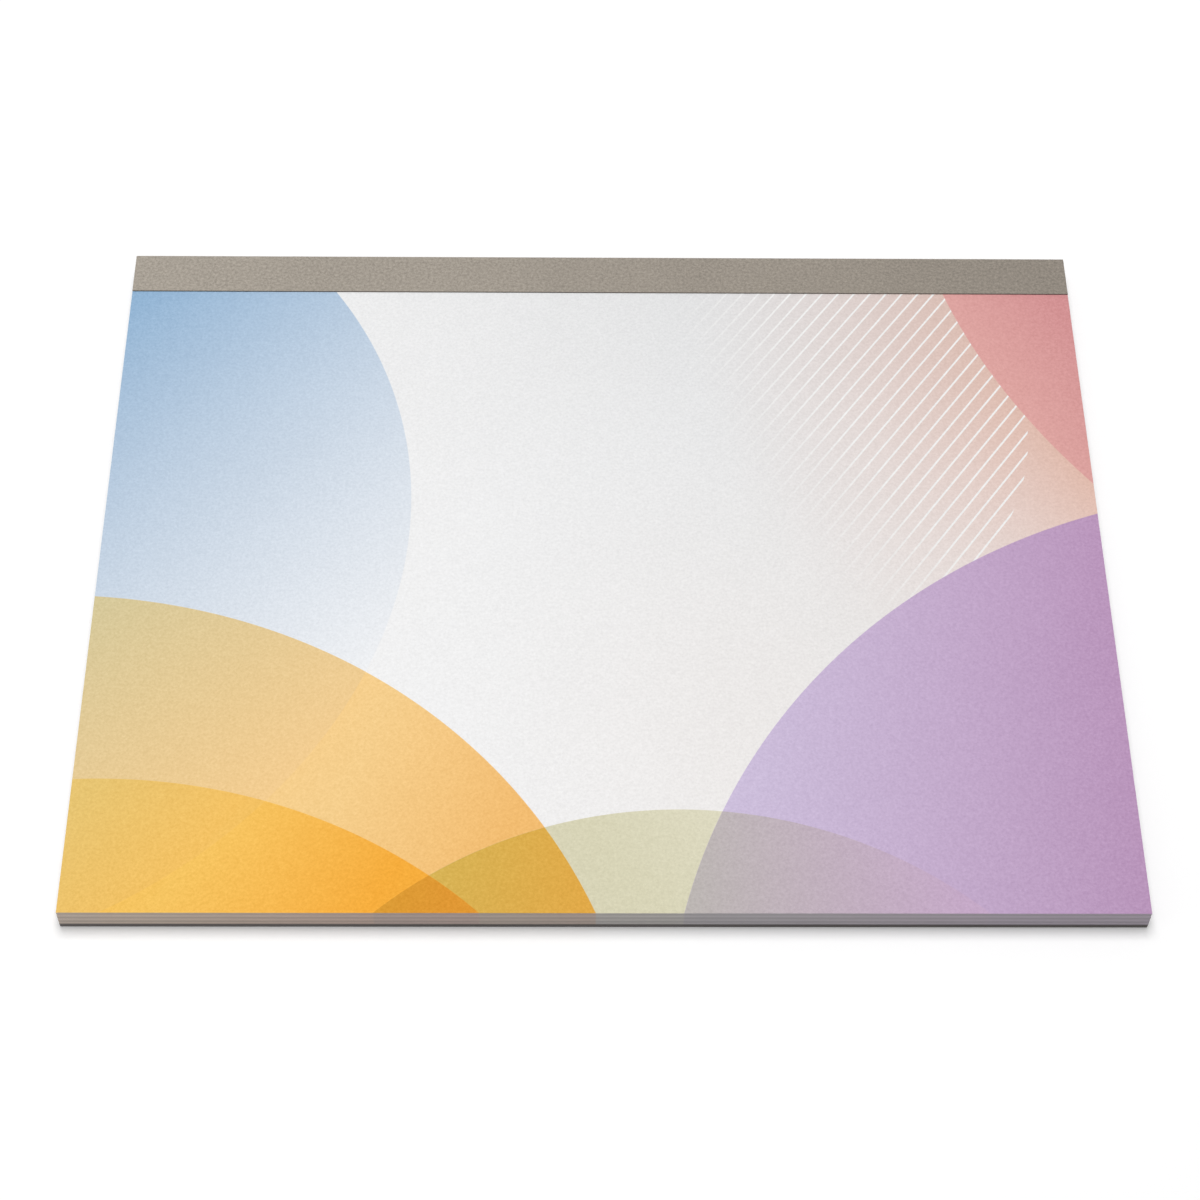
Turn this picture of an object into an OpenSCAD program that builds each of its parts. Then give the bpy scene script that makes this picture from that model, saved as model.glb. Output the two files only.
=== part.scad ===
// Desk pad: a block of printed tear-off sheets on a greyboard backing,
// glued at the head and bound there with a folded card strip.
// It lies flat, +X to the right, +Y towards the bound head, +Z up. The origin is
// the middle of the footprint, on the surface that the pad lies on.

/* [Sheets] */
// Width of a sheet, left to right
sheet_w = 500; // [300:5:700]
// Depth of a sheet, from its front edge to the glued head edge
sheet_d = 400; // [200:5:500]
// Thickness of one sheet
sheet_t = 0.105; // [0.08:0.005:0.3]
// Number of sheets, with the printed top one
sheet_count = 100; // [20:1:200]
// Number of sheets in a lift, which were knocked up and trimmed together
lift_sheet_count = 16; // [4:1:50]
// How far every second lift is set back at its three cut edges
lift_setback = 0.1; // [0.05:0.05:0.5]

/* [Backing board] */
// Thickness of the greyboard, which is trimmed flush with the sheets
board_t = 2.5; // [1:0.1:5]

/* [Head] */
// Thickness of the padding glue on the head edge, which is also the fold's inner radius
glue_t = 0.4; // [0.2:0.1:1]
// Thickness of the binding strip's card
strip_t = 0.6; // [0.2:0.1:1.5]
// Width of the strip on top of the pad, from the back of the fold to its cut edge
strip_w = 25.4; // [10:0.1:60]

/* [Print] */
// Blue disc: its centre from the sheet's front left corner, and its radius
blue_disc = [-109, 229, 262]; // [-600:1:900]
// Yellow disc
yellow_disc = [-18, -110, 286]; // [-600:1:900]
// Orange disc, inside the yellow one
orange_disc = [12, -191, 262]; // [-600:1:900]
// Green disc
green_disc = [285, -153, 208]; // [-600:1:900]
// Purple disc
purple_disc = [601, -82, 326]; // [-600:1:900]
// Red disc
red_disc = [791, 482, 374]; // [-600:1:900]
// Disc that bounds the white hatching on its right. A hatch line runs through its centre
hatch_disc = [322.2, 289.3, 147.8]; // [-600:0.1:900]
// Disc that bounds the hatching on its left
hatch_left_disc = [625, 404, 310]; // [-600:1:900]
// Slope of the hatch lines, in degrees
hatch_slope = 53.8; // [20:0.2:80]
// Distance from one hatch line to the next, square to the lines
hatch_pitch = 6.87; // [4:0.01:20]
// Width of a hatch line
hatch_line = 0.95; // [0.4:0.05:2]
// Number of hatch lines
hatch_count = 43; // [5:2:61]

/* [Hidden] */
$fn = 180;

// Levels, from the underside up
block_bottom = board_t;
block_top = block_bottom + sheet_count * sheet_t;
leaf_bottom = block_top - sheet_t;

// Lines across the depth, from the front to the back of the fold
overall_d = sheet_d + glue_t + strip_t;
front_y = -overall_d / 2;
head_y = front_y + sheet_d;
spine_y = head_y + glue_t;

// Fold of the strip, round the upper edge of the glued head
fold_in = glue_t;
fold_out = glue_t + strip_t;
fold_z = block_top - fold_in;

// Colours
paper_white = [0.94, 0.94, 0.93];
greyboard = [0.42, 0.40, 0.38];
strip_card = [0.63, 0.59, 0.55];
glue_film = [0.86, 0.84, 0.76];
hatch_white = [0.98, 0.98, 0.97];

// Fields of the print, each one colour: what it lies inside and what it leaves out
PRINT_FIELDS = [
    [[0.79, 0.86, 0.92], [blue_disc], [yellow_disc]],
    [[0.89, 0.79, 0.59], [blue_disc, yellow_disc], [orange_disc]],
    [[0.95, 0.79, 0.53], [yellow_disc], [blue_disc, orange_disc, green_disc]],
    [[0.95, 0.75, 0.36], [orange_disc], [green_disc]],
    [[0.87, 0.60, 0.20], [orange_disc, green_disc], []],
    [[0.86, 0.68, 0.31], [yellow_disc, green_disc], [orange_disc]],
    [[0.85, 0.84, 0.72], [green_disc], [yellow_disc, purple_disc]],
    [[0.75, 0.69, 0.75], [green_disc, purple_disc], []],
    [[0.76, 0.66, 0.79], [purple_disc], [green_disc]],
    [[0.85, 0.62, 0.61], [red_disc], []]
];
ALL_DISCS = [blue_disc, yellow_disc, orange_disc, green_disc, purple_disc, red_disc];

// The greyboard that stiffens the pad, as wide and as deep as the sheets.
module backing_board() {
    color(greyboard)
        translate([-sheet_w / 2, front_y, 0])
            cube([sheet_w, sheet_d, board_t]);
}

// All the sheets as one block, with the printed sheet on top.
module sheet_block() {
    color(paper_white)
        plain_sheets();
    translate([-sheet_w / 2, front_y, leaf_bottom])
        printed_sheet();
}

// The sheets under the top one, in lifts. Every second lift is set back a little at
// the cut edges, which draws the fine bands that a trimmed block shows.
module plain_sheets() {
    plain_count = sheet_count - 1;
    for (lift = [0 : ceil(plain_count / lift_sheet_count) - 1]) {
        first = lift * lift_sheet_count;
        last = min(first + lift_sheet_count, plain_count);
        setback = lift % 2 == 1 ? lift_setback : 0;
        translate([-sheet_w / 2 + setback, front_y + setback, block_bottom + first * sheet_t])
            cube([sheet_w - 2 * setback, sheet_d - setback, (last - first) * sheet_t]);
    }
}

// The top sheet, laid out from its front left corner: each field of the print is a
// patch of the sheet as thick as the sheet itself.
module printed_sheet() {
    for (field = PRINT_FIELDS)
        color(field[0])
            linear_extrude(height = sheet_t)
                print_field(field[1], field[2]);
    color(hatch_white)
        linear_extrude(height = sheet_t)
            hatching();
    color(paper_white)
        linear_extrude(height = sheet_t)
            difference() {
                sheet_outline();
                for (d = ALL_DISCS)
                    disc(d);
                hatching();
            }
}

module sheet_outline() {
    square([sheet_w, sheet_d]);
}

module disc(d) {
    translate([d[0], d[1]])
        circle(r = d[2]);
}

module print_field(inside, outside) {
    difference() {
        intersection() {
            sheet_outline();
            intersection_for (d = inside)
                disc(d);
        }
        for (d = outside)
            disc(d);
    }
}

// White lines on the slant. They lie in what two discs of their own share, and the
// red and purple discs cover them.
module hatching() {
    middle_line = (hatch_count - 1) / 2;
    difference() {
        intersection() {
            sheet_outline();
            disc(hatch_disc);
            disc(hatch_left_disc);
            translate([hatch_disc[0], hatch_disc[1]])
                rotate(hatch_slope)
                    for (line = [0 : hatch_count - 1])
                        translate([0, (line - middle_line) * hatch_pitch])
                            square([2 * hatch_disc[2], hatch_line], center = true);
        }
        disc(red_disc);
        disc(purple_disc);
    }
}

// A profile drawn across the depth and the height, run along the width of the sheets.
module along_head() {
    translate([-sheet_w / 2, 0, 0])
        rotate([90, 0, 90])
            linear_extrude(height = sheet_w)
                children();
}

// Quarter of a circle about the centre of the fold, from straight up to straight back.
module fold_quarter(r) {
    translate([head_y, fold_z])
        intersection() {
            circle(r = r);
            square([r, r]);
        }
}

// The film of padding glue that joins the head edges of the sheets and the board. Its
// upper edge is rounded, and the strip is folded over that.
module head_glue() {
    color(glue_film)
        along_head() {
            translate([head_y, 0])
                square([glue_t, fold_z]);
            fold_quarter(fold_in);
        }
}

// The card strip, one piece folded once: it is glued flat on the top sheet and down
// the back of the head, and ends level with the underside of the board.
module binding_strip() {
    color(strip_card)
        along_head() {
            translate([spine_y + strip_t - strip_w, block_top])
                square([strip_w - fold_out, strip_t]);
            difference() {
                fold_quarter(fold_out);
                fold_quarter(fold_in);
            }
            translate([spine_y, 0])
                square([strip_t, fold_z]);
        }
}

backing_board();
sheet_block();
head_glue();
binding_strip();
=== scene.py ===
import math

import bmesh
import bpy
from mathutils import Matrix, Vector


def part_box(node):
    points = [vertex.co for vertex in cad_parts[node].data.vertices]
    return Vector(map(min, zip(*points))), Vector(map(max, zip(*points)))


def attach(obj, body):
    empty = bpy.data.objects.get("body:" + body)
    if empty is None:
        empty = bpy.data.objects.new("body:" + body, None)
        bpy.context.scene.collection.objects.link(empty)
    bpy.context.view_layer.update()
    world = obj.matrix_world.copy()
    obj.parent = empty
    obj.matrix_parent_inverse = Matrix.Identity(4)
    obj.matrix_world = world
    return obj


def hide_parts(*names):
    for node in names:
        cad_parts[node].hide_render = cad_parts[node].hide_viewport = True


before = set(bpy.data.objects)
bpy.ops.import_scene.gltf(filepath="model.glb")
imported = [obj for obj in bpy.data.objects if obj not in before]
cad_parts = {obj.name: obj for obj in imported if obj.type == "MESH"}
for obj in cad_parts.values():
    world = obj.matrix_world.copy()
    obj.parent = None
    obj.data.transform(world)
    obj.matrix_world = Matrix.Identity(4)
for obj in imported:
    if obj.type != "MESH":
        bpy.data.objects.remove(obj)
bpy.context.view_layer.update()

# Camera
# It looks down on the pad from in front, where the photograph was taken. Its place, its
# turns and its lens were fitted to the corners of the pad. Lengths are in millimetres,
# times mm, and the picture is 1200 pixels square on a 36 mm frame.
mm = 0.001
camera_stand = Vector((-17.9, -806.3, 1119.8)) * mm
look_down = math.radians(54.80)
look_right = math.radians(1.20)
lean = math.radians(1.12)
photo_pixels = 1200
lens_pixels = 2750

camera_data = bpy.data.cameras.new("camera")
camera_data.sensor_fit = "HORIZONTAL"
camera_data.sensor_width = 36.0
camera_data.lens = camera_data.sensor_width * lens_pixels / photo_pixels
camera = bpy.data.objects.new("camera", camera_data)
camera.matrix_world = (
    Matrix.Translation(camera_stand)
    @ Matrix.Rotation(-look_right, 4, "Z")
    @ Matrix.Rotation(math.pi / 2 - look_down, 4, "X")
    @ Matrix.Rotation(lean, 4, "Z")
)
bpy.context.scene.collection.objects.link(camera)
bpy.context.scene.camera = camera
bpy.context.scene.view_settings.view_transform = "Standard"


# Table top and daylight
# A plain white table in a bright room. The camera sees the table and the room as white,
# while what they throw back on the pad stays at a plain level. The light is one broad
# soft window overhead, a little behind the pad, and a small soft lamp low on its left.
def add_node(tree, kind, inputs=None, **settings):
    """A new node. Each of its inputs is set to a value, or wired from another output."""
    made = tree.nodes.new(kind)
    for name, value in settings.items():
        setattr(made, name, value)
    for name, value in (inputs or {}).items():
        if isinstance(value, bpy.types.NodeSocket):
            tree.links.new(value, made.inputs[name])
        else:
            made.inputs[name].default_value = value
    return made


def add_math(tree, operation, first, second=0.5, third=0.5):
    """A Math node's output."""
    return add_node(
        tree, "ShaderNodeMath", {0: first, 1: second, 2: third}, operation=operation
    ).outputs[0]


def add_colour_mix(tree, factor, first, second, blend="MIX"):
    """A colour Mix node's output. Its sockets 0, 6 and 7 are the factor and two colours."""
    mixed = add_node(
        tree,
        "ShaderNodeMix",
        data_type="RGBA",
        blend_type=blend,
    )
    for socket, value in ((0, factor), (6, first), (7, second)):
        if isinstance(value, bpy.types.NodeSocket):
            tree.links.new(value, mixed.inputs[socket])
        else:
            mixed.inputs[socket].default_value = value
    return mixed.outputs[2]


def screen_colour(red, green, blue):
    """A colour as a screen shows it, 0 to 255, as the linear colour that a node takes."""
    linear = []
    for level in (red, green, blue):
        share = level / 255
        linear.append(share / 12.92 if share <= 0.04045 else ((share + 0.055) / 1.055) ** 2.4)
    return (*linear, 1.0)


def seen_not_lit(tree):
    """1 for what the camera, a gloss or a glass sees, and 0 for light on its way."""
    path = add_node(tree, "ShaderNodeLightPath").outputs
    gloss = add_math(tree, "MAXIMUM", path["Is Glossy Ray"], path["Is Transmission Ray"])
    return add_math(tree, "MAXIMUM", path["Is Camera Ray"], gloss)


def new_material(name):
    """A material with a Principled shader, and its node tree."""
    material = bpy.data.materials.new(name)
    material.use_nodes = True
    return material, material.node_tree


def object_place(tree):
    """The place of a point of the piece, in metres."""
    return add_node(tree, "ShaderNodeTexCoord").outputs["Object"]


def add_lamp(name, place, aim, width, depth, energy):
    """A soft rectangular lamp at a place, turned to what it is aimed at."""
    light = bpy.data.lights.new(name, "AREA")
    light.shape = "RECTANGLE"
    light.size = width
    light.size_y = depth
    light.energy = energy
    lamp = bpy.data.objects.new(name, light)
    turn = (aim - place).to_track_quat("-Z", "Y").to_matrix().to_4x4()
    lamp.matrix_world = Matrix.Translation(place) @ turn
    bpy.context.scene.collection.objects.link(lamp)


room_light = 0.37
room = bpy.data.worlds.new("bright room")
bpy.context.scene.world = room
room.use_nodes = True
room.node_tree.nodes.clear()
room_seen = add_node(
    room.node_tree, "ShaderNodeBackground", {"Color": (1, 1, 1, 1), "Strength": 1.0}
)
room_lit = add_node(
    room.node_tree, "ShaderNodeBackground", {"Color": (1, 1, 1, 1), "Strength": room_light}
)
room_mix = add_node(
    room.node_tree,
    "ShaderNodeMixShader",
    {0: seen_not_lit(room.node_tree), 1: room_lit.outputs[0], 2: room_seen.outputs[0]},
)
add_node(room.node_tree, "ShaderNodeOutputWorld", {"Surface": room_mix.outputs[0]})

table_half = 6.0
table_gap = 0.05 * mm
table_bounce = 0.58
table_seen_extra = 0.04
table_near = 0.7
table_far = 2.2
table_paint, tree = new_material("white table")
table_shader = tree.nodes["Principled BSDF"]
table_shader.inputs["Roughness"].default_value = 0.9
table_shader.inputs["Specular IOR Level"].default_value = 0.0
table_shader.inputs["Emission Color"].default_value = (1, 1, 1, 1)
table_seen = seen_not_lit(tree)
table_lit_colour = (table_bounce, table_bounce, table_bounce, 1)
tree.links.new(
    add_colour_mix(tree, table_seen, table_lit_colour, (1, 1, 1, 1)),
    table_shader.inputs["Base Color"],
)
table_away = add_node(
    tree, "ShaderNodeVectorMath", {0: object_place(tree)}, operation="LENGTH"
).outputs["Value"]
table_extra = add_node(
    tree,
    "ShaderNodeMapRange",
    {
        "Value": table_away,
        "From Min": table_near,
        "From Max": table_far,
        "To Min": table_seen_extra,
        "To Max": 1.0,
    },
).outputs[0]
tree.links.new(
    add_math(tree, "MULTIPLY", table_seen, table_extra),
    table_shader.inputs["Emission Strength"],
)
table_mesh = bpy.data.meshes.new("table")
table_mesh.from_pydata(
    [(x * table_half, y * table_half, -table_gap) for x, y in ((-1, -1), (1, -1), (1, 1), (-1, 1))],
    [],
    [(0, 1, 2, 3)],
)
table_mesh.materials.append(table_paint)
table = bpy.data.objects.new("table", table_mesh)
bpy.context.scene.collection.objects.link(table)

add_lamp(
    "overhead window",
    place=Vector((-0.10, 0.46, 3.2)),
    aim=Vector((0.0, 0.0, 0.0)),
    width=1.6,
    depth=2.2,
    energy=73.0,
)
add_lamp(
    "side lamp",
    place=Vector((-0.60, -0.55, 0.09)),
    aim=Vector((-0.10, -0.20, 0.0)),
    width=0.40,
    depth=0.12,
    energy=0.5,
)


# Backing board
# A sheet of 2.5 mm greyboard, pressed from grey recycled pulp in layers and cut on a
# guillotine. It stiffens the pad, and the sheets lie on it, glued to it only at the head.
def new_group(name, inputs, outputs):
    """A shader node group with these sockets, and its own input and output nodes."""
    group = bpy.data.node_groups.new(name, "ShaderNodeTree")
    for socket, kind in inputs:
        group.interface.new_socket(name=socket, in_out="INPUT", socket_type=kind)
    for socket, kind in outputs:
        group.interface.new_socket(name=socket, in_out="OUTPUT", socket_type=kind)
    return group, group.nodes.new("NodeGroupInput").outputs, group.nodes.new("NodeGroupOutput")


def use_group(tree, group, inputs):
    """A group placed in a material or in another group. Returns its outputs."""
    placed = tree.nodes.new("ShaderNodeGroup")
    placed.node_tree = group
    for name, value in inputs.items():
        if isinstance(value, bpy.types.NodeSocket):
            tree.links.new(value, placed.inputs[name])
        else:
            placed.inputs[name].default_value = value
    return placed.outputs


def pulp_grain_group():
    """Pressed pulp: a speckle and wide soft clouds as a tone about 1, and a height."""
    group, given, result = new_group(
        "pulp grain",
        [
            ("Vector", "NodeSocketVector"),
            ("Speck size", "NodeSocketFloat"),
            ("Speck steps", "NodeSocketFloat"),
            ("Speck depth", "NodeSocketFloat"),
            ("Cloud depth", "NodeSocketFloat"),
        ],
        [("Tone", "NodeSocketFloat"), ("Height", "NodeSocketFloat")],
    )
    speck_scale = add_math(group, "DIVIDE", 1.0, given["Speck size"])
    speck = add_node(
        group,
        "ShaderNodeTexNoise",
        {
            "Vector": given["Vector"],
            "Scale": speck_scale,
            "Detail": given["Speck steps"],
            "Roughness": 0.8,
        },
    ).outputs[0]
    specks_across_cloud = 45
    cloud_scale = add_math(group, "MULTIPLY", speck_scale, 1 / specks_across_cloud)
    cloud = add_node(
        group,
        "ShaderNodeTexNoise",
        {"Vector": given["Vector"], "Scale": cloud_scale, "Detail": 3.0, "Roughness": 0.6},
    ).outputs[0]
    speck_part = add_math(
        group, "MULTIPLY", add_math(group, "SUBTRACT", speck, 0.5), given["Speck depth"]
    )
    cloud_part = add_math(
        group, "MULTIPLY", add_math(group, "SUBTRACT", cloud, 0.5), given["Cloud depth"]
    )
    tone = add_math(group, "ADD", add_math(group, "ADD", speck_part, cloud_part), 1.0)
    group.links.new(tone, result.inputs["Tone"])
    group.links.new(speck, result.inputs["Height"])
    return group


def cut_layers_group():
    """Layers seen on a cut edge: fine level lines that drift slowly, as a tone about 1."""
    group, given, result = new_group(
        "cut layers",
        [
            ("Vector", "NodeSocketVector"),
            ("Layer", "NodeSocketFloat"),
            ("Run", "NodeSocketFloat"),
            ("Depth", "NodeSocketFloat"),
        ],
        [("Tone", "NodeSocketFloat")],
    )
    along = add_math(group, "DIVIDE", 1.0, given["Run"])
    across = add_math(group, "DIVIDE", 1.0, given["Layer"])
    stretch = add_node(group, "ShaderNodeCombineXYZ", {"X": along, "Y": along, "Z": across})
    stretched = add_node(
        group,
        "ShaderNodeVectorMath",
        {0: given["Vector"], 1: stretch.outputs[0]},
        operation="MULTIPLY",
    ).outputs[0]
    lines = add_node(
        group,
        "ShaderNodeTexNoise",
        {"Vector": stretched, "Scale": 1.0, "Detail": 3.0, "Roughness": 0.6},
    ).outputs[0]
    line_part = add_math(
        group, "MULTIPLY", add_math(group, "SUBTRACT", lines, 0.5), given["Depth"]
    )
    group.links.new(add_math(group, "ADD", line_part, 1.0), result.inputs["Tone"])
    return group


def shade(material, colour, tone, height, roughness, relief, gloss=0.25):
    """Finishes a material: its colour times a tone, and a bump of this relief in metres."""
    tree = material.node_tree
    shader = tree.nodes["Principled BSDF"]
    shader.inputs["Roughness"].default_value = roughness
    shader.inputs["Specular IOR Level"].default_value = gloss
    tree.links.new(
        add_colour_mix(tree, 1.0, colour, tone, "MULTIPLY"), shader.inputs["Base Color"]
    )
    bump = add_node(
        tree, "ShaderNodeBump", {"Strength": 1.0, "Distance": relief, "Height": height}
    )
    tree.links.new(bump.outputs[0], shader.inputs["Normal"])


pulp_grain = pulp_grain_group()
cut_layers = cut_layers_group()

board_face, tree = new_material("greyboard face")
grain = use_group(
    tree,
    pulp_grain,
    {
        "Vector": object_place(tree),
        "Speck size": 1.4 * mm,
        "Speck steps": 2.0,
        "Speck depth": 0.6,
        "Cloud depth": 0.2,
    },
)
shade(board_face, screen_colour(150, 146, 139), grain["Tone"], grain["Height"], 0.9, 0.05 * mm)

# The cut edge is darker than the face, partly the greyboard's own and partly painted shade of the
# dark line between the board and the sheets.
board_cut, tree = new_material("greyboard cut edge")
layers = use_group(
    tree,
    cut_layers,
    {"Vector": object_place(tree), "Layer": 0.7 * mm, "Run": 60 * mm, "Depth": 0.7},
)
shade(board_cut, screen_colour(111, 107, 105), layers["Tone"], layers["Tone"], 0.9, 0.03 * mm)

board_low, board_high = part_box("backing_board")
board_edge = 0.1 * mm
board_corner = 0.5 * mm


def slab_outline(low, high, corner, steps=4):
    """The outline of a rectangle with rounded corners, anticlockwise from above."""
    points = []
    for quarter, (x, y) in enumerate(
        ((high.x - corner, low.y + corner), (high.x - corner, high.y - corner),
         (low.x + corner, high.y - corner), (low.x + corner, low.y + corner))
    ):
        for step in range(steps + 1):
            angle = (quarter - 1 + step / steps) * math.pi / 2
            points.append((x + corner * math.cos(angle), y + corner * math.sin(angle)))
    return points


def finish_mesh(shape, name, materials):
    """Turns a bmesh into an object at the origin, smooth but for its real edges."""
    bmesh.ops.recalc_face_normals(shape, faces=shape.faces)
    mesh = bpy.data.meshes.new(name)
    shape.to_mesh(mesh)
    shape.free()
    mesh.shade_smooth()
    mesh.set_sharp_from_angle(angle=math.radians(35))
    for material in materials:
        mesh.materials.append(material)
    made = bpy.data.objects.new(name, mesh)
    bpy.context.scene.collection.objects.link(made)
    return made


slab = bmesh.new()
rim = slab_outline(board_low, board_high, board_corner)
under = slab.faces.new([slab.verts.new((x, y, board_low.z)) for x, y in reversed(rim)])
raised = bmesh.ops.extrude_face_region(slab, geom=[under])
bmesh.ops.translate(
    slab,
    verts=[part for part in raised["geom"] if isinstance(part, bmesh.types.BMVert)],
    vec=(0, 0, board_high.z - board_low.z),
)
bmesh.ops.bevel(
    slab,
    geom=[
        edge
        for edge in slab.edges
        if edge.verts[0].co.z == edge.verts[1].co.z
    ],
    offset=board_edge,
    segments=3,
    affect="EDGES",
    profile=0.5,
)
for face in slab.faces:
    face.normal_update()
    face.material_index = 0 if abs(face.normal.z) > 0.9 else 1
backing_board = finish_mesh(slab, "backing_board_greyboard", [board_face, board_cut])
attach(backing_board, "root")
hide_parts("backing_board")


# Sheets
# A hundred leaves of uncoated 80 g/m2 paper, trimmed in lifts of 16 on a guillotine, which
# leans a little out of line in one lift and back in the next. The head edge, which is
# glued, is knocked up flush. All the leaves carry the print, so its colour shows a little
# in the cut edges.
paper = 0.105 * mm
leaf_total = 100
lift_leaves = 16
lift_height = lift_leaves * paper
lift_lean = 0.1 * mm
leaf_play = 0.006 * mm
trim_seed = 11
block_low, block_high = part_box("sheet_block")
leaf_corner = Vector((block_low.x, block_low.y, 0.0))
sheet_white = (0.890, 0.889, 0.892, 1.0)

# Discs of the print, in millimetres from the sheet's front left corner, with the radius
blue_disc = (-108.7, 229.0, 262.4)
yellow_disc = (-18.7, -109.2, 286.2)
orange_disc = (12.6, -191.0, 262.5)
green_disc = (285.1, -153.2, 208.4)
purple_disc = (602.1, -80.8, 326.3)
red_disc = (791.1, 482.3, 373.9)

# Inks, in the order in which they cover each other. Each fills what its discs share, and
# runs from one colour to another between two points of the sheet.
disc_inks = (
    ((blue_disc,), (210, 200), (240, 241, 243), (20, 385), (147, 180, 211)),
    ((yellow_disc,), (260, 180), (243, 189, 113), (185, 210), (245, 206, 140)),
    ((yellow_disc, blue_disc), (95, 35), (247, 205, 142), (-15, 155), (213, 199, 153)),
    ((green_disc,), (295, -45), (216, 212, 183), (430, 30), (230, 226, 207)),
    ((yellow_disc, green_disc), (240, 0), (225, 169, 70), (170, 15), (215, 179, 84)),
    ((purple_disc,), (310, 120), (205, 191, 220), (500, 120), (186, 150, 188)),
    ((green_disc, purple_disc), (290, 0), (188, 182, 179), (415, 5), (198, 170, 200)),
    ((orange_disc,), (140, 0), (246, 173, 59), (65, 40), (245, 196, 96)),
    ((orange_disc, blue_disc), (55, 25), (243, 193, 98), (5, 60), (230, 195, 112)),
    ((orange_disc, green_disc), (150, 10), (219, 154, 50), (180, 5), (224, 151, 49)),
    ((red_disc,), (440, 355), (221, 164, 160), (510, 390), (206, 138, 142)),
)

# Soft tints on the bare ground, and, second, a painted shade that darkens it towards the back
# right: a centre, how far each reaches, and its tint there
ground_tints_and_shade = (
    ((365, 90), 225, (0.97, 0.94, 0.92, 1.0)),
    ((675, 760), 880, (0.54, 0.55, 0.56, 1.0)),
    ((660, 370), 375, (1.0, 0.25, 0.0, 1.0)),
)

# White hatching, between the edge of one disc on its right and a second on its left, at
# which it fades in
hatch_disc = (322.2, 289.3, 147.8)
hatch_fade_disc = (625, 404, 344)
hatch_fade = 68
hatch_slope = math.radians(53.8)
hatch_pitch = 6.87
hatch_line = 0.95
hatch_white = screen_colour(241, 241, 240)


def disc_mask_group():
    """1 inside a disc of the print, 0 outside, and a ramp of this width at its edge."""
    group, given, result = new_group(
        "disc mask",
        [
            ("Place", "NodeSocketVector"),
            ("Centre", "NodeSocketVector"),
            ("Radius", "NodeSocketFloat"),
            ("Ramp", "NodeSocketFloat"),
        ],
        [("Mask", "NodeSocketFloat")],
    )
    away = add_node(
        group,
        "ShaderNodeVectorMath",
        {0: given["Place"], 1: given["Centre"]},
        operation="DISTANCE",
    ).outputs["Value"]
    inside = add_math(group, "SUBTRACT", given["Radius"], away)
    ramp = add_node(
        group, "ShaderNodeMapRange", {"Value": inside, "From Min": 0.0, "From Max": given["Ramp"]}
    )
    group.links.new(ramp.outputs[0], result.inputs["Mask"])
    return group


def colour_run_group():
    """A colour that runs evenly from one at the first point to another at the last."""
    group, given, result = new_group(
        "colour run",
        [
            ("Place", "NodeSocketVector"),
            ("From", "NodeSocketVector"),
            ("To", "NodeSocketVector"),
            ("First", "NodeSocketColor"),
            ("Last", "NodeSocketColor"),
        ],
        [("Color", "NodeSocketColor")],
    )

    def vector_math(operation, first, second):
        return add_node(
            group, "ShaderNodeVectorMath", {0: first, 1: second}, operation=operation
        ).outputs

    way = vector_math("SUBTRACT", given["To"], given["From"])["Vector"]
    gone = vector_math("SUBTRACT", given["Place"], given["From"])["Vector"]
    along = vector_math("DOT_PRODUCT", gone, way)["Value"]
    whole = vector_math("DOT_PRODUCT", way, way)["Value"]
    share = add_node(
        group, "ShaderNodeMapRange", {"Value": along, "From Min": 0.0, "From Max": whole}
    ).outputs[0]
    group.links.new(
        add_colour_mix(group, share, given["First"], given["Last"]), result.inputs["Color"]
    )
    return group


def hatching_group():
    """Parallel lines at a pitch, square to a slope, as a mask."""
    group, given, result = new_group(
        "hatching",
        [
            ("Place", "NodeSocketVector"),
            ("Centre", "NodeSocketVector"),
            ("Slope", "NodeSocketFloat"),
            ("Pitch", "NodeSocketFloat"),
            ("Line", "NodeSocketFloat"),
        ],
        [("Mask", "NodeSocketFloat")],
    )
    from_centre = add_node(
        group,
        "ShaderNodeVectorMath",
        {0: given["Place"], 1: given["Centre"]},
        operation="SUBTRACT",
    ).outputs["Vector"]
    turned = add_node(
        group,
        "ShaderNodeVectorRotate",
        {"Vector": from_centre, "Angle": add_math(group, "MULTIPLY", given["Slope"], -1.0)},
        rotation_type="Z_AXIS",
    ).outputs[0]
    across = add_node(group, "ShaderNodeSeparateXYZ", {"Vector": turned}).outputs["Y"]
    half_pitch = add_math(group, "MULTIPLY", given["Pitch"], 0.5)
    from_line = add_math(group, "PINGPONG", across, half_pitch)
    inside = add_math(
        group, "SUBTRACT", add_math(group, "MULTIPLY", given["Line"], 0.5), from_line
    )
    soft = add_math(group, "MULTIPLY", given["Line"], 0.2)
    ramp = add_node(
        group,
        "ShaderNodeMapRange",
        {"Value": inside, "From Min": add_math(group, "MULTIPLY", soft, -1.0), "From Max": soft},
    )
    group.links.new(ramp.outputs[0], result.inputs["Mask"])
    return group


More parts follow.
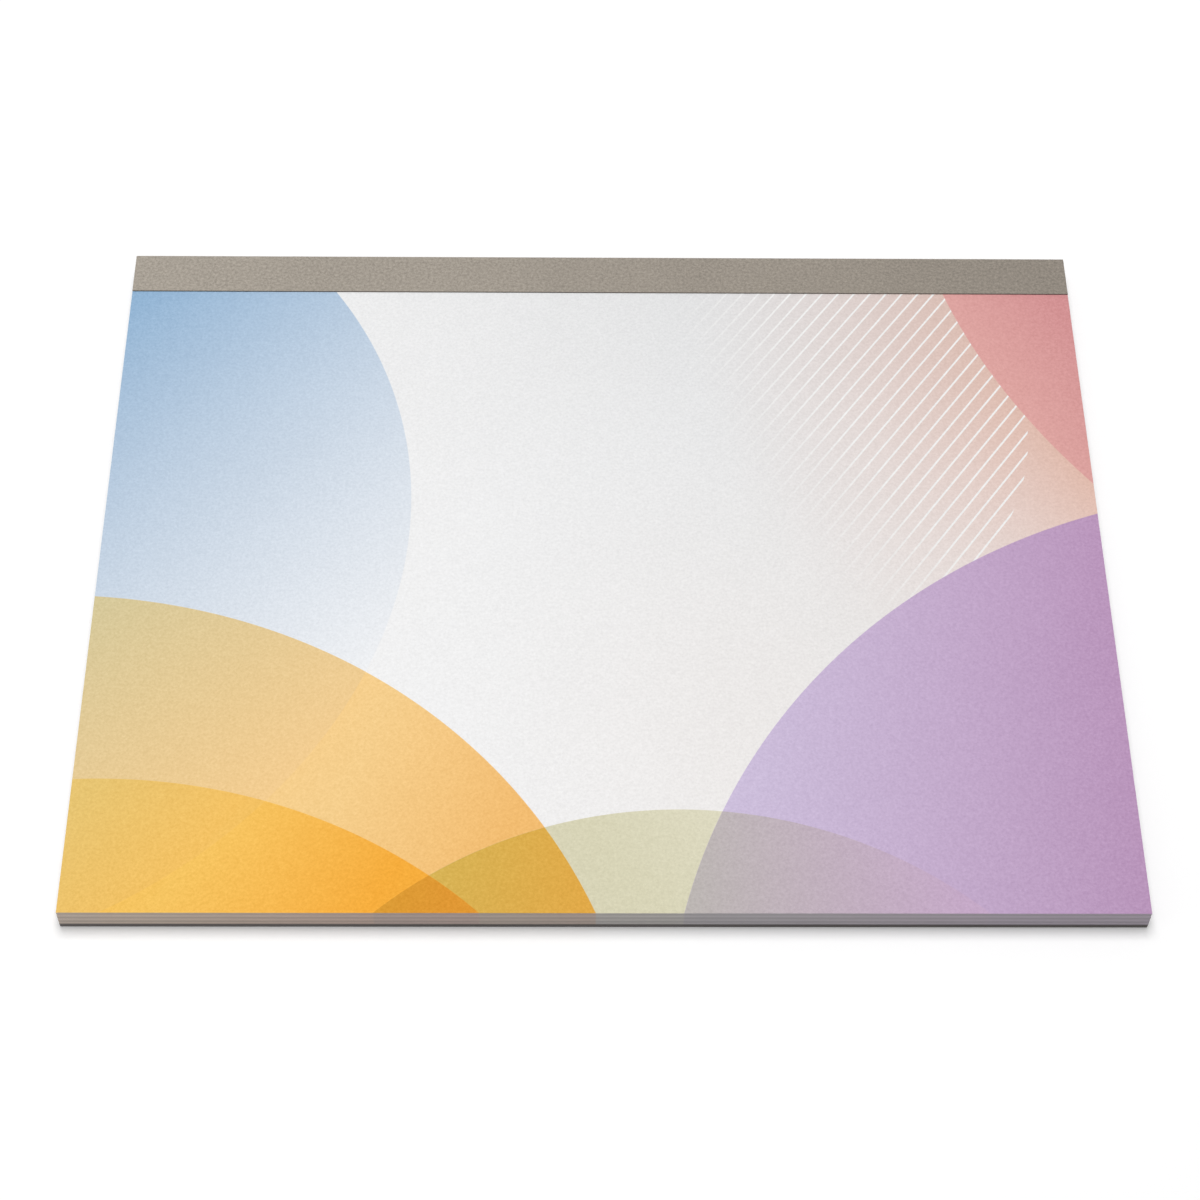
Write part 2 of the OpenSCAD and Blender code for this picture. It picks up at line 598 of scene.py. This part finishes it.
def print_group():
    """The whole print of a sheet, by the place on the pad."""
    group, given, result = new_group(
        "print",
        [("Vector", "NodeSocketVector")],
        [("Color", "NodeSocketColor")],
    )
    disc_mask = disc_mask_group()
    place = add_node(
        group,
        "ShaderNodeMapping",
        {"Vector": given["Vector"], "Location": -leaf_corner / mm, "Scale": (1 / mm, 1 / mm, 0.0)},
    ).outputs[0]

    def mask_of(disc, ramp=0.3):
        return use_group(
            group,
            disc_mask,
            {"Place": place, "Centre": (disc[0], disc[1], 0), "Radius": disc[2], "Ramp": ramp},
        )["Mask"]

    colour = sheet_white
    # The second of these is painted shade, darker towards the back right of the sheet.
    for centre, reach, tint in ground_tints_and_shade:
        away = add_node(
            group,
            "ShaderNodeVectorMath",
            {0: place, 1: (*centre, 0)},
            operation="DISTANCE",
        ).outputs["Value"]
        tint_share = add_node(
            group,
            "ShaderNodeMapRange",
            {"Value": away, "From Min": reach, "From Max": 0.0},
            interpolation_type="SMOOTHSTEP",
        ).outputs[0]
        colour = add_colour_mix(group, tint_share, colour, tint, "MULTIPLY")
    lines = use_group(
        group,
        hatching_group(),
        {
            "Place": place,
            "Centre": (hatch_disc[0], hatch_disc[1], 0),
            "Slope": hatch_slope,
            "Pitch": hatch_pitch,
            "Line": hatch_line,
        },
    )["Mask"]
    faded_in = mask_of(hatch_fade_disc, hatch_fade)
    hatched = add_math(group, "MULTIPLY", mask_of(hatch_disc), faded_in)
    colour = add_colour_mix(
        group, add_math(group, "MULTIPLY", lines, hatched), colour, hatch_white
    )
    for discs, start, start_colour, end, end_colour in disc_inks:
        ink = use_group(
            group,
            colour_run,
            {
                "Place": place,
                "From": (*start, 0),
                "To": (*end, 0),
                "First": screen_colour(*start_colour),
                "Last": screen_colour(*end_colour),
            },
        )["Color"]
        covered = mask_of(discs[0])
        for disc in discs[1:]:
            covered = add_math(group, "MULTIPLY", covered, mask_of(disc))
        colour = add_colour_mix(group, covered, colour, ink)
    group.links.new(colour, result.inputs["Color"])
    return group


colour_run = colour_run_group()
sheet_print = print_group()

printed_face, tree = new_material("printed face")
place = object_place(tree)
printed = use_group(tree, sheet_print, {"Vector": place})["Color"]
grain = use_group(
    tree,
    pulp_grain,
    {
        "Vector": place,
        "Speck size": 1.4 * mm,
        "Speck steps": 3.0,
        "Speck depth": 0.28,
        "Cloud depth": 0.03,
    },
)
ink_mottle = 1.2
thin_ink = add_math(tree, "MULTIPLY_ADD", grain["Tone"], -ink_mottle, 1.0 + ink_mottle)
inked = add_node(tree, "ShaderNodeGamma", {"Color": printed, "Gamma": thin_ink}).outputs[0]
shade(printed_face, inked, grain["Tone"], grain["Height"], 0.85, 0.004 * mm, gloss=0.1)

cut_edges, tree = new_material("cut paper edges")
place = object_place(tree)
printed = use_group(tree, sheet_print, {"Vector": place})["Color"]
layers = use_group(
    tree,
    cut_layers,
    {"Vector": place, "Layer": 0.22 * mm, "Run": 35 * mm, "Depth": 0.30},
)
# Painted shade: lifts that lean out are darker and lifts that lean back are lighter.
lift_shade = 0.12
# Painted shade: the edge grows darker towards the bottom, where less light comes back from the
# table.
lift_fade = 0.02
lowest_tone = 0.93
# Painted shade of the groove between the leaves and the board: the lowest leaves are darker still.
groove_shade = 0.4
groove_shade_lifts = 0.5
height = add_node(tree, "ShaderNodeSeparateXYZ", {"Vector": place}).outputs["Z"]
lifts_up = add_math(tree, "DIVIDE", add_math(tree, "SUBTRACT", height, block_low.z), lift_height)
lift_wave = add_math(tree, "SINE", add_math(tree, "MULTIPLY", lifts_up, math.pi))
# The painted shade of the lifts, darker towards the bottom.
lift_low_shade = add_math(tree, "MULTIPLY_ADD", lifts_up, lift_fade, lowest_tone)
lift_tone = add_math(tree, "MULTIPLY_ADD", lift_wave, lift_shade, lift_low_shade)
# The painted shade of the groove just above the board.
groove_shaded = add_node(
    tree,
    "ShaderNodeMapRange",
    {
        "Value": lifts_up,
        "From Min": 0.0,
        "From Max": groove_shade_lifts,
        "To Min": 1.0 - groove_shade,
        "To Max": 1.0,
    },
).outputs[0]
edge_tone = add_math(
    tree, "MULTIPLY", add_math(tree, "MULTIPLY", layers["Tone"], lift_tone), groove_shaded
)
edge_ink = 0.22
edge_paper = screen_colour(193, 189, 193)
shade(
    cut_edges,
    add_colour_mix(tree, edge_ink, edge_paper, printed),
    edge_tone,
    layers["Tone"],
    0.9,
    0.01 * mm,
)


def leaf_stack_tree():
    """Leaves stacked from a corner, in lifts that are trimmed a little differently."""
    tree = bpy.data.node_groups.new("leaf stack", "GeometryNodeTree")
    for name, kind in (
        ("Leaves", "NodeSocketInt"),
        ("Lift", "NodeSocketInt"),
        ("Width", "NodeSocketFloat"),
        ("Depth", "NodeSocketFloat"),
        ("Thickness", "NodeSocketFloat"),
        ("Lean", "NodeSocketFloat"),
        ("Play", "NodeSocketFloat"),
        ("Corner", "NodeSocketVector"),
        ("Material", "NodeSocketMaterial"),
    ):
        tree.interface.new_socket(name=name, in_out="INPUT", socket_type=kind)
    tree.interface.new_socket(name="Geometry", in_out="OUTPUT", socket_type="NodeSocketGeometry")
    given = tree.nodes.new("NodeGroupInput").outputs
    result = tree.nodes.new("NodeGroupOutput")

    rise = add_node(tree, "ShaderNodeCombineXYZ", {"Z": given["Thickness"]}).outputs[0]
    size = add_node(
        tree,
        "ShaderNodeCombineXYZ",
        {"X": given["Width"], "Y": given["Depth"], "Z": given["Thickness"]},
    ).outputs[0]
    half_size = add_node(
        tree, "ShaderNodeVectorMath", {0: size, "Scale": 0.5}, operation="SCALE"
    ).outputs["Vector"]
    first_centre = add_node(
        tree, "ShaderNodeVectorMath", {0: given["Corner"], 1: half_size}, operation="ADD"
    ).outputs["Vector"]
    pile = add_node(
        tree,
        "GeometryNodeMeshLine",
        {"Count": given["Leaves"], "Start Location": first_centre, "Offset": rise},
        mode="OFFSET",
    ).outputs[0]

    index = tree.nodes.new("GeometryNodeInputIndex").outputs[0]
    lifts_up = add_math(tree, "DIVIDE", index, given["Lift"])
    leaning = add_math(tree, "MULTIPLY", add_math(tree, "PINGPONG", lifts_up, 1.0), given["Lean"])
    tuck = add_node(
        tree,
        "FunctionNodeRandomValue",
        {"Min": 0.0, "Max": 1.0, "Seed": trim_seed},
        data_type="FLOAT",
    ).outputs[1]
    trimmed = add_math(tree, "ADD", leaning, add_math(tree, "MULTIPLY", tuck, given["Play"]))
    inwards = add_node(
        tree, "ShaderNodeCombineXYZ", {"Y": add_math(tree, "MULTIPLY", trimmed, 0.5)}
    ).outputs[0]
    pile = add_node(
        tree, "GeometryNodeSetPosition", {"Geometry": pile, "Offset": inwards}
    ).outputs[0]
    both_sides = add_math(tree, "MULTIPLY", trimmed, 2.0)
    narrow = add_math(
        tree, "SUBTRACT", 1.0, add_math(tree, "DIVIDE", both_sides, given["Width"])
    )
    shallow = add_math(tree, "SUBTRACT", 1.0, add_math(tree, "DIVIDE", trimmed, given["Depth"]))
    trim = add_node(tree, "ShaderNodeCombineXYZ", {"X": narrow, "Y": shallow, "Z": 1.0}).outputs[0]
    leaf = add_node(tree, "GeometryNodeMeshCube", {"Size": size}).outputs[0]
    leaves = add_node(
        tree, "GeometryNodeInstanceOnPoints", {"Points": pile, "Instance": leaf, "Scale": trim}
    ).outputs[0]
    real = add_node(tree, "GeometryNodeRealizeInstances", {"Geometry": leaves}).outputs[0]
    finished = add_node(
        tree, "GeometryNodeSetMaterial", {"Geometry": real, "Material": given["Material"]}
    ).outputs[0]
    tree.links.new(finished, result.inputs[0])
    return tree


def grow(name, tree, values):
    """Runs a geometry tree on an empty mesh, and keeps the result as a plain mesh."""
    made = bpy.data.objects.new(name, bpy.data.meshes.new(name))
    bpy.context.scene.collection.objects.link(made)
    modifier = made.modifiers.new("grow", "NODES")
    modifier.node_group = tree
    for socket in tree.interface.items_tree:
        if socket.in_out == "INPUT":
            modifier[socket.identifier] = values[socket.name]
    made.update_tag()
    evaluated = made.evaluated_get(bpy.context.evaluated_depsgraph_get())
    mesh = bpy.data.meshes.new_from_object(evaluated)
    made.modifiers.remove(modifier)
    made.data = mesh
    mesh.name = name
    return made


leaf_stack = grow(
    "sheet_block_leaves",
    leaf_stack_tree(),
    {
        "Leaves": leaf_total - 1,
        "Lift": lift_leaves,
        "Width": block_high.x - block_low.x,
        "Depth": block_high.y - block_low.y,
        "Thickness": paper,
        "Lean": lift_lean,
        "Play": leaf_play,
        "Corner": block_low,
        "Material": cut_edges,
    },
)
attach(leaf_stack, "root")
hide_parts("sheet_block")


# Printed top sheet
# The uppermost leaf of the block, the one that is written on and torn off next. It lies
# flat under the binding strip, and its front edge has lifted by a tenth of a millimetre.
front_lift = 0.10 * mm
lift_reach = 45 * mm
wave_length = 170 * mm
wave_share = 0.6
wave_start = 0.6
sheet_cell = 5 * mm

top_sheet = bmesh.new()
across_cells = round((block_high.x - block_low.x) / sheet_cell)
deep_cells = round((block_high.y - block_low.y) / sheet_cell)
rows = []
for row in range(deep_cells + 1):
    y = block_low.y + row * sheet_cell
    close_to_front = max(0.0, 1 - row * sheet_cell / lift_reach)
    points = []
    for column in range(across_cells + 1):
        x = block_low.x + column * sheet_cell
        turn = 2 * math.pi * x / wave_length + wave_start
        wave = 1 - wave_share * (0.5 + 0.5 * math.sin(turn))
        z = block_high.z - paper + front_lift * wave * close_to_front ** 2
        points.append(top_sheet.verts.new((x, y, z)))
    rows.append(points)
for near, far in zip(rows, rows[1:]):
    for left in range(across_cells):
        top_sheet.faces.new((near[left], near[left + 1], far[left + 1], far[left]))
lower = bmesh.ops.duplicate(top_sheet, geom=top_sheet.faces[:])
upper_verts = [vert for points in rows for vert in points]
bmesh.ops.translate(top_sheet, verts=upper_verts, vec=(0, 0, paper))
bmesh.ops.reverse_faces(
    top_sheet, faces=[part for part in lower["geom"] if isinstance(part, bmesh.types.BMFace)]
)
rims = [edge for edge in top_sheet.edges if edge.is_boundary]
bmesh.ops.bridge_loops(top_sheet, edges=rims)
for face in top_sheet.faces:
    face.normal_update()
    face.material_index = 0 if face.normal.z > 0.5 else 1
printed_sheet = finish_mesh(top_sheet, "sheet_block_printed_sheet", [printed_face, cut_edges])
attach(printed_sheet, "root")
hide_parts("sheet_block")


# Padding glue
# The film of flexible white glue that is brushed on the head of the clamped block. It
# dries half clear, with faint brush marks along the head, and lets one sheet go at a time.
glue_film, tree = new_material("padding glue")
brush_marks = use_group(
    tree,
    cut_layers,
    {"Vector": object_place(tree), "Layer": 0.5 * mm, "Run": 25 * mm, "Depth": 0.1},
)
glue_colour = screen_colour(226, 222, 206)
shade(glue_film, glue_colour, brush_marks["Tone"], brush_marks["Tone"], 0.4, 0.03 * mm)
head_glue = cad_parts["head_glue"]
for slot in head_glue.material_slots:
    slot.material = glue_film


# Binding strip
# One strip of grey-brown card made from speckled pulp. It is glued flat on the top sheet,
# folded round the head and glued down the back, and ends level with the board. Its face has
# a painted falloff of light, lighter on the left and darker on the right. Its cut edges are
# darker than its face, partly the card's own and partly painted shade of the dark line under
# its front edge.
strip_low, strip_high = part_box("binding_strip")
card = 0.6 * mm
fold_in = 0.4 * mm
fold_out = fold_in + card
fold_steps = 12
cut_round = 0.12 * mm

strip_face, tree = new_material("strip card face")
place = object_place(tree)
grain = use_group(
    tree,
    pulp_grain,
    {
        "Vector": place,
        "Speck size": 1.5 * mm,
        "Speck steps": 3.0,
        "Speck depth": 1.4,
        "Cloud depth": 0.2,
    },
)
# Painted falloff of light: the face is lighter on the left and darker on the right.
strip_falloff_run = use_group(
    tree,
    colour_run,
    {
        "Place": place,
        "From": (strip_low.x, 0, 0),
        "To": (strip_high.x, 0, 0),
        "First": screen_colour(166, 158, 147),
        "Last": screen_colour(144, 136, 126),
    },
)["Color"]
shade(strip_face, strip_falloff_run, grain["Tone"], grain["Height"], 0.9, 0.03 * mm)

# The cut edge is darker than the face, partly the card's own and partly painted shade of the dark
# line under the strip's front edge.
strip_cut, tree = new_material("strip card cut edge")
layers = use_group(
    tree,
    cut_layers,
    {"Vector": object_place(tree), "Layer": 0.15 * mm, "Run": 10 * mm, "Depth": 0.6},
)
shade(strip_cut, screen_colour(98, 92, 86), layers["Tone"], layers["Tone"], 0.9, 0.02 * mm)


def strip_profile():
    """The folded card from its front edge over the fold and down, outside and back."""
    fold_y = strip_high.y - fold_out
    fold_z = strip_high.z - fold_out
    outside = [(strip_low.y + cut_round, strip_high.z)]
    inside = [(strip_low.y + cut_round, strip_high.z - card)]
    for step in range(fold_steps + 1):
        angle = math.pi / 2 * (1 - step / fold_steps)
        outside.append((fold_y + fold_out * math.cos(angle), fold_z + fold_out * math.sin(angle)))
        inside.append((fold_y + fold_in * math.cos(angle), fold_z + fold_in * math.sin(angle)))
    outside.append((strip_high.y, strip_low.z))
    inside.append((strip_high.y - card, strip_low.z))
    nose = [
        (strip_low.y, strip_high.z - card + cut_round),
        (strip_low.y, strip_high.z - cut_round),
    ]
    return outside + inside[::-1] + nose


strip = bmesh.new()
length_steps = 50
profile = strip_profile()
rings = []
for step in range(length_steps + 1):
    x = strip_low.x + (strip_high.x - strip_low.x) * step / length_steps
    rings.append([strip.verts.new((x, y, z)) for y, z in profile])
for ring, following in zip(rings, rings[1:]):
    for corner in range(len(profile)):
        after = (corner + 1) % len(profile)
        strip.faces.new((ring[corner], following[corner], following[after], ring[after]))
strip.faces.new(rings[0])
strip.faces.new(rings[-1][::-1])
bmesh.ops.recalc_face_normals(strip, faces=strip.faces)
for face in strip.faces:
    face.normal_update()
    front = face.normal.y < -0.5 and face.calc_center_median().y < strip_low.y + card
    foot = face.normal.z < -0.9 and face.calc_center_median().z < strip_low.z + card
    face.material_index = 1 if front or foot or abs(face.normal.x) > 0.9 else 0
binding_strip = finish_mesh(strip, "binding_strip_card", [strip_face, strip_cut])
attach(binding_strip, "root")
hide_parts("binding_strip")
